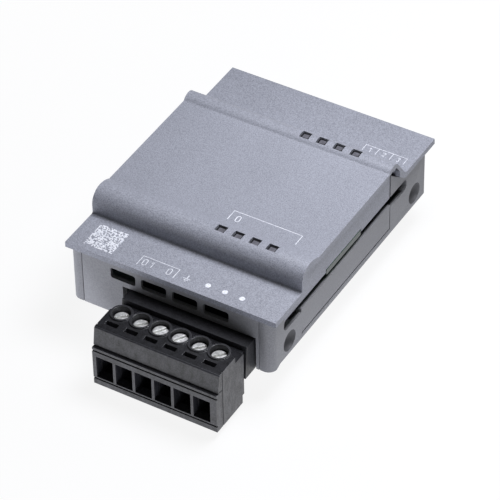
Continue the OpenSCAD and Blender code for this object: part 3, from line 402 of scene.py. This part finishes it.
def grown(name, group, values, body):
    """Runs a geometry group once, keeps its plain mesh and lets it ride on a body."""
    seed = bpy.data.objects.new(name, bpy.data.meshes.new(name))
    scene.collection.objects.link(seed)
    maker = seed.modifiers.new("maker", "NODES")
    maker.node_group = group
    for identifier, value in values.items():
        maker[identifier] = value
    bpy.context.view_layer.update()
    mesh = bpy.data.meshes.new_from_object(seed.evaluated_get(bpy.context.evaluated_depsgraph_get()))
    seed.modifiers.remove(maker)
    seed.data = mesh
    mesh.name = name
    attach(seed, body)
    return seed


# Three dots: a row of thin round spots
dot_count, dot_pitch, dot_r = 3, 3.035, 0.47
first_dot_x, first_dot_y = 5.66, -17.7
ink_middle = front_flange_z + ink_thick / 2
dots = bpy.data.node_groups.new("row_of_ink_dots", "GeometryNodeTree")
in_count = socket(dots, "Count", "NodeSocketInt", 3)
in_start = socket(dots, "First", "NodeSocketVector")
in_step = socket(dots, "Step", "NodeSocketVector")
in_round = socket(dots, "Radius", "NodeSocketFloat", 0.0005)
socket(dots, "Mesh", "NodeSocketGeometry", way="OUTPUT")
given = add(dots, "NodeGroupInput").outputs
line = add(dots, "GeometryNodeMeshLine", {"Count": given["Count"], "Start Location": given["First"],
           "Offset": given["Step"]}, mode="OFFSET")
spot = add(dots, "GeometryNodeMeshCylinder", {"Vertices": 20, "Radius": given["Radius"],
           "Depth": ink_thick * MM})
rows = add(dots, "GeometryNodeInstanceOnPoints", {"Points": line.outputs[0],
           "Instance": spot.outputs[0]})
solid = add(dots, "GeometryNodeRealizeInstances", {"Geometry": rows.outputs[0]})
inked = add(dots, "GeometryNodeSetMaterial", {"Geometry": solid.outputs[0], "Material": ink})
add(dots, "NodeGroupOutput", {"Mesh": inked.outputs[0]})
grown("print_dots", dots, {in_count: dot_count,
      in_start: (first_dot_x * MM, first_dot_y * MM, ink_middle * MM),
      in_step: (dot_pitch * MM, 0, 0), in_round: dot_r * MM}, "casing")

# A square field of small cells, some left open at random: it spells nothing
cell_count, cell_share, cell_seed = 26, 0.6, 5
field_side, field_x, field_y = 5.0, -13.75, -16.25
cells = bpy.data.node_groups.new("field_of_ink_cells", "GeometryNodeTree")
in_side = socket(cells, "Cells", "NodeSocketInt", 16)
in_size = socket(cells, "Size", "NodeSocketFloat", 0.0055)
in_share = socket(cells, "Share", "NodeSocketFloat", 0.5)
in_seed = socket(cells, "Seed", "NodeSocketInt", 3)
in_place = socket(cells, "Place", "NodeSocketVector")
socket(cells, "Mesh", "NodeSocketGeometry", way="OUTPUT")
given = add(cells, "NodeGroupInput").outputs
field = add(cells, "GeometryNodeMeshGrid", {"Size X": given["Size"], "Size Y": given["Size"],
            "Vertices X": given["Cells"], "Vertices Y": given["Cells"]})
chance = add(cells, "FunctionNodeRandomValue", {"Seed": given["Seed"]}, data_type="FLOAT")
keep = add(cells, "FunctionNodeCompare", {0: chance.outputs[1], 1: given["Share"]},
           data_type="FLOAT", operation="LESS_THAN")
pitch = add(cells, "ShaderNodeMath", {0: given["Size"], 1: given["Cells"]}, operation="DIVIDE")
block_size = add(cells, "ShaderNodeCombineXYZ", {"X": pitch.outputs[0], "Y": pitch.outputs[0],
                 "Z": ink_thick * MM})
block = add(cells, "GeometryNodeMeshCube", {"Size": block_size.outputs[0]})
rows = add(cells, "GeometryNodeInstanceOnPoints", {"Points": field.outputs[0],
           "Selection": keep.outputs[0], "Instance": block.outputs[0]})
moved = add(cells, "GeometryNodeTransform", {"Geometry": rows.outputs[0],
            "Translation": given["Place"]})
solid = add(cells, "GeometryNodeRealizeInstances", {"Geometry": moved.outputs[0]})
inked = add(cells, "GeometryNodeSetMaterial", {"Geometry": solid.outputs[0], "Material": ink})
add(cells, "NodeGroupOutput", {"Mesh": inked.outputs[0]})
grown("print_cell_field", cells, {in_side: cell_count, in_size: field_side * MM, in_share: cell_share,
      in_seed: cell_seed, in_place: (field_x * MM, field_y * MM, ink_middle * MM)},
      "casing")


# ---- Base shell and board carrier ----------------------------------------------------------------
# The lower half and the side panels are moulded of the same plastic in a plainer grey, snapped on
# under the cover. Their mould is eroded too, a little finer.
shell_skin = eroded_plastic("Spark_eroded_polycarbonate_grey", "#909091", 0.16, 0.55, grain=0.24)
shell_edge = eroded_plastic("Polycarbonate_moulded_edge_grey", "#98989a", 0.05, 0.48, depth=0.004)
shell_round, carrier_round = 0.10, 0.08
shell = rounded_copy("base_shell", "base_shell_moulding", "casing", shell_round,
                     shell_skin, shell_edge)
rounded_copy("board_carrier", "board_carrier_moulding", "casing", carrier_round,
             shell_skin, shell_edge)

# The catch dimples get a darker grey, as painted shade for the little light that reaches into them.
# Their skin is also a little smoother, as turned pins in the mould form them
dimple_painted_shade = eroded_plastic("Polycarbonate_dimple_painted_shade_grey", "#666667", 0.10, 0.50, depth=0.003)
dimple_r, dimple_z = 1.9, 8.8
dimple_front, dimple_rear = 5.3, 5.4
skin_depth, dimple_depth = 0.01, 1.5
low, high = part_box("top_cover")
dimple_ys = (low.y + dimple_front * MM, high.y - dimple_rear * MM)
side_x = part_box("base_shell")[1].x
shell.data.materials.append(dimple_painted_shade)
for face in shell.data.polygons:
    off_centre = min((face.center - Vector((0, y, dimple_z * MM))).yz.length for y in dimple_ys)
    depth = side_x - abs(face.center.x)
    if off_centre < dimple_r * MM and skin_depth * MM < depth < dimple_depth * MM:
        face.material_index = 2


# ---- Terminal header and plug --------------------------------------------------------------------
# Charcoal glass-filled polyamide: satin, slightly streaky along the flow, and its sharp edges look
# paler. The header is fixed on the board; the plug is two mouldings, housing and wire frame.
up_and_down = (1000, 1000, 400)                 # stretches a pattern 2.5 times along the flow
speck_low, speck_high = 0.35, 0.65              # nearly all of a mixed noise lies between these


def polyamide(name, colour, contrast, roughness, gloss=1.72, shine=0.75):
    """Glass-filled polyamide. Flow streaks 0.4 mm wide run up and down, with fine fibre specks."""
    material, tree = blank(name)
    place = add(tree, "ShaderNodeTexCoord").outputs["Object"]
    in_mm = add(tree, "ShaderNodeMapping", {"Vector": place, "Scale": to_mm}).outputs[0]
    drawn_out = add(tree, "ShaderNodeMapping", {"Vector": place, "Scale": up_and_down}).outputs[0]
    streaks = add(tree, "ShaderNodeTexNoise", {"Vector": drawn_out, "Scale": 1.2, "Detail": 3.0,
                  "Roughness": 0.6})
    specks = add(tree, "ShaderNodeTexNoise", {"Vector": in_mm, "Scale": 4.5, "Detail": 2.0})
    both = add(tree, "ShaderNodeMix", {0: 0.55, 2: streaks.outputs[0], 3: specks.outputs[0]})
    shade = add(tree, "ShaderNodeMapRange", {"Value": both.outputs[0], "From Min": speck_low,
                "From Max": speck_high, "To Min": 1 - contrast, "To Max": 1 + contrast})
    tone = add(tree, "ShaderNodeVectorMath", {0: srgb(colour)[:3], "Scale": shade.outputs[0]},
               operation="SCALE")
    dull = add(tree, "ShaderNodeMapRange", {"Value": both.outputs[0], "From Min": speck_low,
               "From Max": speck_high, "To Min": roughness + 0.08, "To Max": roughness - 0.08})
    relief = add(tree, "ShaderNodeBump", {"Height": specks.outputs[0], "Distance": 0.020 * MM,
                 "Strength": 0.7})
    skin = add(tree, "ShaderNodeBsdfPrincipled", {"Base Color": tone.outputs[0],
               "Roughness": dull.outputs[0], "Normal": relief.outputs[0], "IOR": gloss,
               "Specular IOR Level": shine})
    add(tree, "ShaderNodeOutputMaterial", {"Surface": skin.outputs[0]})
    return material


plug_skin = polyamide("Glass_filled_polyamide_charcoal", "#353539", 0.7, 0.44, 1.62, 0.6)
plug_edge = polyamide("Polyamide_moulded_edge_charcoal", "#343437", 0.15, 0.36)
# Painted shade: a darker, duller copy for the housing's upper faces
plug_top_shade = polyamide("Glass_filled_polyamide_matt_painted_shade_charcoal", "#1a1a1d", 0.85, 0.60, 1.45, 0.3)
header_skin = polyamide("Glass_filled_polyamide_black", "#28282b", 0.7, 0.42, 1.5, 0.5)
header_edge = polyamide("Polyamide_moulded_edge_black", "#1b1b1e", 0.15, 0.36, 1.5)
header_round, plug_round = 0.07, 0.08
rounded_copy("terminal_header", "terminal_header_moulding", "casing", header_round,
             header_skin, header_edge)
housing = rounded_copy("plug_housing", "plug_housing_moulding", "plug", plug_round,
                       plug_skin, plug_edge)
rounded_copy("plug_wire_frame", "plug_wire_frame_moulding", "plug", plug_round,
             plug_skin, plug_edge)

# The housing's upper faces get a darker, duller plastic: painted shade, for the shadow the cover casts
# on them. Its screwdriver holes are painted black inside: painted shade in the bores
poles = 6
bore_r = 1.52
faces_up = 0.9
housing.data.materials.append(header_skin)
housing.data.materials.append(plug_top_shade)
for face in housing.data.polygons:
    if face.normal.z > faces_up:
        face.material_index = 3
# Painted shade: the walls of each screwdriver bore take the black header plastic
for number in range(1, poles + 1):
    low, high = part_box(f"clamp_screw_{number}")
    axis = (low + high) / 2
    for face in housing.data.polygons:
        if (face.center - axis).xy.length < bore_r * MM and face.center.z > low.z:
            face.material_index = 2


# ---- Clamp screws and cages ----------------------------------------------------------------------
# Slotted M2 screws, zinc plated and tumbled bright, and folded cages of nickel-plated steel. The
# turning tool leaves fine rings on a screw's head and the plating is slightly cloudy.
across_scratches = (1000, 6000, 1000)           # squeezes a pattern to a sixth across the scratches
scratch_turn = (0, 0, 0.6)


def plated(name, colour, roughness, scratch, metal=1.0):
    """Bright plating over turned or folded steel: cloudy at 0.5 mm, scratches 0.1 mm apart."""
    material, tree = blank(name)
    place = add(tree, "ShaderNodeTexCoord").outputs["Object"]
    in_mm = add(tree, "ShaderNodeMapping", {"Vector": place, "Scale": to_mm}).outputs[0]
    along = add(tree, "ShaderNodeMapping", {"Vector": place, "Scale": across_scratches,
                "Rotation": scratch_turn}).outputs[0]
    cloud = add(tree, "ShaderNodeTexNoise", {"Vector": in_mm, "Scale": 2.0, "Detail": 2.0})
    lines = add(tree, "ShaderNodeTexNoise", {"Vector": along, "Scale": 1.6, "Detail": 2.0})
    shade = add(tree, "ShaderNodeMapRange", {"Value": cloud.outputs[0], "From Min": speck_low,
                "From Max": speck_high, "To Min": 0.70, "To Max": 1.08})
    tone = add(tree, "ShaderNodeVectorMath", {0: srgb(colour)[:3], "Scale": shade.outputs[0]},
               operation="SCALE")
    dull = add(tree, "ShaderNodeMapRange", {"Value": lines.outputs[0], "From Min": noise_low,
               "From Max": noise_high, "To Min": roughness - 0.08, "To Max": roughness + 0.12})
    relief = add(tree, "ShaderNodeBump", {"Height": lines.outputs[0], "Distance": scratch * MM,
                 "Strength": 0.6})
    skin = add(tree, "ShaderNodeBsdfPrincipled", {"Base Color": tone.outputs[0],
               "Roughness": dull.outputs[0], "Normal": relief.outputs[0], "Metallic": metal})
    add(tree, "ShaderNodeOutputMaterial", {"Surface": skin.outputs[0]})
    return material


screw_plate = plated("Zinc_plated_turned_steel", "#f0f0ec", 0.34, 0.020, 0.5)
screw_rim = plated("Zinc_plated_steel_edge", "#e6e6e2", 0.34, 0.006, 0.6)
cage_plate = plated("Nickel_plated_folded_steel", "#b9b8b1", 0.36, 0.010)
screw_round = 0.06


def dress(node, material):
    """Gives a CAD solid whose shape is right its finish."""
    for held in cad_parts[node].material_slots:
        held.material = material


for number in range(1, poles + 1):
    rounded_copy(f"clamp_screw_{number}", f"clamp_screw_{number}_turned", f"screw_{number}",
                 screw_round, screw_plate, screw_rim)
    dress(f"clamp_cage_{number}", cage_plate)


# ---- Pins and contacts ---------------------------------------------------------------------------
# Square header pins and contact boxes are stamped bronze with a tin finish; the bus contacts have
# thin gold over nickel. Stamping leaves faint drag lines. The bus connector's body is polyamide.
dress("header_pins", plated("Tinned_bronze", "#c6c8cb", 0.32, 0.006))
dress("plug_contacts", plated("Tinned_spring_bronze", "#bcbcb8", 0.34, 0.006))
dress("bus_contacts", plated("Gold_flashed_bronze", "#d8b566", 0.26, 0.004))
bus_round = 0.08
rounded_copy("bus_connector", "bus_connector_moulding", "casing", bus_round,
             header_skin, header_edge)


# ---- Light guides and lamps ----------------------------------------------------------------------
# Each row of four guides is one clear polycarbonate moulding: the rim of each end is painted near
# black, as painted shade for the shaded sides. Under each stands a lamp: a white ceramic body filled
# with pale resin.
def guide(name, colour, roughness):
    """Clear or cast resin seen at its end: dusty, glossy, a little uneven over 0.6 mm."""
    material, tree = blank(name)
    place = add(tree, "ShaderNodeTexCoord").outputs["Object"]
    in_mm = add(tree, "ShaderNodeMapping", {"Vector": place, "Scale": to_mm}).outputs[0]
    dust = add(tree, "ShaderNodeTexNoise", {"Vector": in_mm, "Scale": 1.7, "Detail": 3.0})
    shade = add(tree, "ShaderNodeMapRange", {"Value": dust.outputs[0], "From Min": noise_low,
                "From Max": noise_high, "To Min": 0.7, "To Max": 1.25})
    tone = add(tree, "ShaderNodeVectorMath", {0: srgb(colour)[:3], "Scale": shade.outputs[0]},
               operation="SCALE")
    skin = add(tree, "ShaderNodeBsdfPrincipled", {"Base Color": tone.outputs[0],
               "Roughness": roughness, "IOR": 1.58, "Coat Weight": 0.3})
    add(tree, "ShaderNodeOutputMaterial", {"Surface": skin.outputs[0]})
    return material


guide_face = guide("Smoky_clear_polycarbonate", "#646369", 0.40)
# Painted shade: near black for the shaded rim around each guide's end
guide_rim_painted_shade = guide("Shaded_clear_polycarbonate_rim", "#0b0b0d", 0.35)
lamp_resin = guide("Cast_pale_resin_lamp", "#e6e2cf", 0.25)
rim_width = 0.34
for row in ("front", "rear"):
    moulding = rounded_copy(f"light_guide_{row}", f"light_guide_{row}_moulding", "casing",
                            0, guide_rim_painted_shade, guide_face)
    work = bmesh.new()
    work.from_mesh(moulding.data)
    top = max(vertex.co.z for vertex in work.verts)
    ends = [face for face in work.faces if face.calc_center_median().z > top - weld]
    bmesh.ops.inset_individual(work, faces=ends, thickness=rim_width * MM)
    for face in ends:
        face.material_index = 1
    work.to_mesh(moulding.data)
    work.free()
    dress(f"lamps_{row}", lamp_resin)


# ---- Circuit board and its parts -----------------------------------------------------------------
# Glass-epoxy board with green solder mask over copper tracks, its sawn edge a greyer green. The
# parts on it are black resin chips, ferrite cores, ceramic blocks and film chips.
track_w, track_pitch, track_run = 0.12, 1.1, 4.2
copper_t = 0.03
steep = 0.5                                     # a face flatter than this is one of the two sides
mask, tree = blank("Green_solder_mask_on_laminate")
place = add(tree, "ShaderNodeTexCoord").outputs["Object"]
in_mm = add(tree, "ShaderNodeMapping", {"Vector": place, "Scale": to_mm}).outputs[0]
tracks = add(tree, "ShaderNodeTexBrick", {"Vector": in_mm, "Scale": 1.0, "Mortar Size": track_w,
             "Mortar Smooth": 0.2, "Brick Width": track_run, "Row Height": track_pitch,
             "Color1": srgb("#1d5a3b"), "Color2": srgb("#20613f"), "Mortar": srgb("#3a8a5c")})
weave = add(tree, "ShaderNodeTexNoise", {"Vector": in_mm, "Scale": 2.5, "Detail": 2.0})
facing = add(tree, "ShaderNodeNewGeometry").outputs["Normal"]
upward = add(tree, "ShaderNodeSeparateXYZ", {0: facing}).outputs["Z"]
flat = add(tree, "ShaderNodeMath", {0: upward}, operation="ABSOLUTE")
on_face = add(tree, "ShaderNodeMath", {0: flat.outputs[0], 1: steep}, operation="GREATER_THAN")
tone = add(tree, "ShaderNodeMix", {0: on_face.outputs[0], 6: srgb("#525a55"), 7: tracks.outputs[0]},
           data_type="RGBA")
shade = add(tree, "ShaderNodeMapRange", {"Value": weave.outputs[0], "From Min": noise_low,
            "From Max": noise_high, "To Min": 0.88, "To Max": 1.12})
tone = add(tree, "ShaderNodeVectorMath", {0: tone.outputs[2], "Scale": shade.outputs[0]},
           operation="SCALE")
relief = add(tree, "ShaderNodeBump", {"Height": tracks.outputs[1], "Distance": copper_t * MM,
             "Strength": 0.5})
skin = add(tree, "ShaderNodeBsdfPrincipled", {"Base Color": tone.outputs[0], "Roughness": 0.35,
           "Normal": relief.outputs[0], "IOR": 1.5})
add(tree, "ShaderNodeOutputMaterial", {"Surface": skin.outputs[0]})
dress("circuit_board", mask)

# Tinned pads of the plated holes: small flat discs, strewn between the parts
tin = plated("Tinned_copper_pad", "#c9ccce", 0.30, 0.004)
pad_r, pad_t, pad_lift = 0.26, 0.04, 0.005
pad_gap = 1.1                                   # least distance between two pads' centres
pad_sides = 12
pads_wide, pads_long = 0.8, 0.86                # the strewn field as a share of the board's sides
pads_dense = 150000.0                           # most pads to a square metre, before the gap thins them
pads_seed = 4
low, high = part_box("circuit_board")
rings = bpy.data.node_groups.new("strewn_tinned_pads", "GeometryNodeTree")
in_wide = socket(rings, "Width", "NodeSocketFloat", 0.03)
in_long = socket(rings, "Length", "NodeSocketFloat", 0.03)
in_many = socket(rings, "Density", "NodeSocketFloat", pads_dense)
in_seed = socket(rings, "Seed", "NodeSocketInt", pads_seed)
in_place = socket(rings, "Place", "NodeSocketVector")
socket(rings, "Mesh", "NodeSocketGeometry", way="OUTPUT")
given = add(rings, "NodeGroupInput").outputs
area = add(rings, "GeometryNodeMeshGrid", {"Size X": given["Width"], "Size Y": given["Length"],
           "Vertices X": 2, "Vertices Y": 2})
spread = add(rings, "GeometryNodeDistributePointsOnFaces", {"Mesh": area.outputs[0],
             "Distance Min": pad_gap * MM, "Density Max": given["Density"], "Seed": given["Seed"]},
             distribute_method="POISSON")
pad = add(rings, "GeometryNodeMeshCylinder", {"Vertices": pad_sides, "Radius": pad_r * MM,
          "Depth": pad_t * MM})
strewn = add(rings, "GeometryNodeInstanceOnPoints", {"Points": spread.outputs[0],
             "Instance": pad.outputs[0]})
moved = add(rings, "GeometryNodeTransform", {"Geometry": strewn.outputs[0],
            "Translation": given["Place"]})
solid = add(rings, "GeometryNodeRealizeInstances", {"Geometry": moved.outputs[0]})
tinned = add(rings, "GeometryNodeSetMaterial", {"Geometry": solid.outputs[0], "Material": tin})
add(rings, "NodeGroupOutput", {"Mesh": tinned.outputs[0]})
middle = (low + high) / 2
grown("board_pads", rings, {in_wide: (high.x - low.x) * pads_wide,
      in_long: (high.y - low.y) * pads_long, in_many: pads_dense, in_seed: pads_seed,
      in_place: (middle.x, middle.y, high.z + pad_lift * MM)}, "casing")


pit_depth = 0.01


def epoxy(name, colour, other, patch):
    """Cast or fired body of a small part, mottled over patch mm."""
    material, tree = blank(name)
    place = add(tree, "ShaderNodeTexCoord").outputs["Object"]
    in_mm = add(tree, "ShaderNodeMapping", {"Vector": place, "Scale": to_mm}).outputs[0]
    mottle = add(tree, "ShaderNodeTexNoise", {"Vector": in_mm, "Scale": 1 / patch, "Detail": 3.0})
    spread = add(tree, "ShaderNodeMapRange", {"Value": mottle.outputs[0], "From Min": speck_low,
                 "From Max": speck_high})
    tone = add(tree, "ShaderNodeMix", {0: spread.outputs[0], 6: srgb(colour), 7: srgb(other)},
               data_type="RGBA")
    relief = add(tree, "ShaderNodeBump", {"Height": mottle.outputs[0], "Distance": pit_depth * MM,
                 "Strength": 0.5})
    skin = add(tree, "ShaderNodeBsdfPrincipled", {"Base Color": tone.outputs[2], "Roughness": 0.55,
               "Normal": relief.outputs[0]})
    add(tree, "ShaderNodeOutputMaterial", {"Surface": skin.outputs[0]})
    return material


chip_resin = epoxy("Moulded_black_epoxy", "#1b1b1d", "#29292c", 0.3)
for node in ("converter_chip", "processor_chip", "isolator_chips"):
    dress(node, chip_resin)
dress("power_transformer", epoxy("Sintered_ferrite", "#2c2a29", "#3b3837", 0.4))
dress("power_inductor", epoxy("Resin_and_ferrite_core", "#3a3a3b", "#4c4b49", 0.5))
dress("capacitors", epoxy("Fired_ceramic_tan", "#a68656", "#b8996a", 0.5))
dress("resistors", epoxy("Glazed_film_chip", "#141416", "#232327", 0.3))
